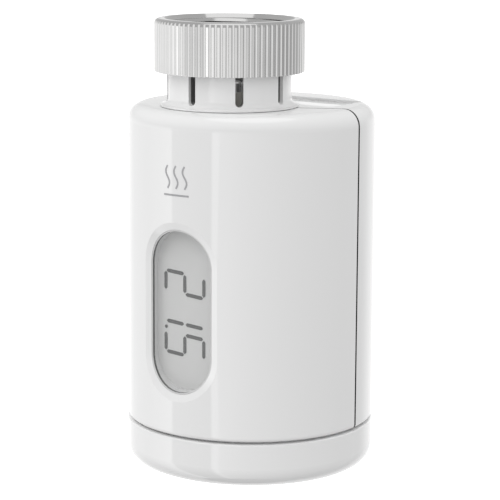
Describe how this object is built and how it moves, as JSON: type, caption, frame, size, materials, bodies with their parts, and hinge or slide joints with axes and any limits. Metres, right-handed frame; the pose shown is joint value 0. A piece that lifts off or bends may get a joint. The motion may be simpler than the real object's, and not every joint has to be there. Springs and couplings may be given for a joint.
{
  "type": "thermostatic radiator valve",
  "caption": "Electronic thermostatic radiator valve head: white round casing with a display window, turning dial at one end and a fluted union nut on a slotted collar at the other.",
  "frame": {"origin": "centre of the dial's flat bottom, on the casing's axis", "axes": "+Z along the casing's axis towards the union nut, -Y towards the display, +X to the right as the display is faced"},
  "size_m": [0.059, 0.059, 0.1066],
  "materials": {
    "front_shell": "smooth white gloss",
    "display_lens": "clear",
    "lens_gasket": "light grey, matt",
    "lcd_panel": "grey-green reflective display",
    "lcd_holder": "white",
    "lcd_backlight": "milky diffuser",
    "connector_strips": "silicone with carbon layers",
    "main_board": "green solder mask",
    "board_screws": "zinc plated",
    "radio_module": "tinned shield",
    "board_components": "black moulded packages",
    "dial_guide_ring": "white",
    "base_plate": "white",
    "base_screws": "zinc plated",
    "encoder_body": "dark housing",
    "encoder_nut": "nickel plated",
    "encoder_board": "green solder mask",
    "collar": "satin white",
    "collar_screws": "zinc plated",
    "gearbox_base": "dark grey",
    "gearbox_mid_plate": "dark grey",
    "gearbox_cover": "dark grey",
    "gearbox_screws": "zinc plated",
    "gear_axles": "ground pins",
    "thrust_washer": "hardened",
    "motor_screws": "zinc plated",
    "motor_can": "zinc plated",
    "motor_end_cap": "natural",
    "motor_terminals": "sheet",
    "motor_leads": "insulated wire",
    "battery_left": "printed sleeve, plain ends",
    "battery_right": "printed sleeve, plain ends",
    "battery_tray": "white",
    "contact_bridge": "nickel plated sheet",
    "contact_positive": "nickel plated sheet",
    "contact_negative": "nickel plated sheet",
    "battery_cover": "smooth white gloss",
    "encoder_plunger": "natural",
    "dial_cap": "smooth white gloss",
    "encoder_shaft": "turned",
    "union_nut": "satin nickel plate",
    "spindle_gear": "natural acetal",
    "pusher_pin": "natural acetal",
    "pusher_tip": "turned",
    "second_compound_gear": "natural acetal",
    "first_compound_gear": "natural acetal",
    "motor_shaft": "ground",
    "motor_pinion": "turned"
  },
  "bodies": {
    "head": {"front_shell": "front_shell", "display_lens": "display_lens", "lens_gasket": "lens_gasket", "lcd_panel": "lcd_panel", "lcd_holder": "lcd_holder", "lcd_backlight": "lcd_backlight", "connector_strips": "connector_strips", "main_board": "main_board", "board_screws": "board_screws", "radio_module": "radio_module", "board_components": "board_components", "dial_guide_ring": "dial_guide_ring", "base_plate": "base_plate", "base_screws": "base_screws", "encoder_body": "encoder_body", "encoder_nut": "encoder_nut", "encoder_board": "encoder_board", "collar": "collar", "collar_screws": "collar_screws", "gearbox_base": "gearbox_base", "gearbox_mid_plate": "gearbox_mid_plate", "gearbox_cover": "gearbox_cover", "gearbox_screws": "gearbox_screws", "gear_axles": "gear_axles", "thrust_washer": "thrust_washer", "motor_screws": "motor_screws", "motor_can": "motor_can", "motor_end_cap": "motor_end_cap", "motor_terminals": "motor_terminals", "motor_leads": "motor_leads", "battery_left": "battery_left", "battery_right": "battery_right", "battery_tray": "battery_tray", "contact_bridge": "contact_bridge", "contact_positive": "contact_positive", "contact_negative": "contact_negative"},
    "cover": {"battery_cover": "battery_cover"},
    "dial_stem": {"encoder_plunger": "encoder_plunger"},
    "dial": {"dial_cap": "dial_cap", "encoder_shaft": "encoder_shaft"},
    "nut": {"union_nut": "union_nut"},
    "spindle": {"spindle_gear": "spindle_gear"},
    "pusher": {"pusher_pin": "pusher_pin", "pusher_tip": "pusher_tip"},
    "second_gear": {"second_compound_gear": "second_compound_gear"},
    "first_gear": {"first_compound_gear": "first_compound_gear"},
    "rotor": {"motor_shaft": "motor_shaft", "motor_pinion": "motor_pinion"}
  },
  "joints": [
    {"name": "battery_cover_pull", "type": "slide", "parent": "head", "child": "cover", "axis": [0, 1, 0], "range_m": [0, 0.032]},
    {"name": "dial_press", "type": "slide", "parent": "head", "child": "dial_stem", "axis": [0, 0, 1], "range_m": [0, 0.0004], "stiffness_N_per_m": 2000, "springref_m": -0.0025},
    {"name": "dial_turn", "type": "hinge", "parent": "dial_stem", "child": "dial", "pos_m": [0, 0, 0.005], "axis": [0, 0, 1], "continuous": true},
    {"name": "nut_turn", "type": "hinge", "parent": "head", "child": "nut", "pos_m": [0, -0.0089, 0.1], "axis": [0, 0, 1], "continuous": true},
    {"name": "spindle_turn", "type": "hinge", "parent": "head", "child": "spindle", "pos_m": [0, -0.0089, 0.075], "axis": [0, 0, 1], "range_deg": [0, 1080]},
    {"name": "pusher_travel", "type": "slide", "parent": "head", "child": "pusher", "axis": [0, 0, 1], "range_m": [0, 0.0045]},
    {"name": "second_gear_turn", "type": "hinge", "parent": "head", "child": "second_gear", "pos_m": [0.01335, -0.00351, 0.066], "axis": [0, 0, 1], "range_deg": [-5400, 0]},
    {"name": "first_gear_turn", "type": "hinge", "parent": "head", "child": "first_gear", "pos_m": [0.00168, -0.00631, 0.066], "axis": [0, 0, 1], "range_deg": [0, 27000]},
    {"name": "motor_turn", "type": "hinge", "parent": "head", "child": "rotor", "pos_m": [-0.01001, -0.00361, 0.066], "axis": [0, 0, 1], "range_deg": [-135000, 0]}
  ],
  "couplings": [
    {"joint": "spindle_turn", "follows": "pusher_travel", "rad_per_m": 4188.8},
    {"joint": "second_gear_turn", "follows": "pusher_travel", "rad_per_m": -20944},
    {"joint": "first_gear_turn", "follows": "pusher_travel", "rad_per_m": 104720},
    {"joint": "motor_turn", "follows": "pusher_travel", "rad_per_m": -523600}
  ]
}
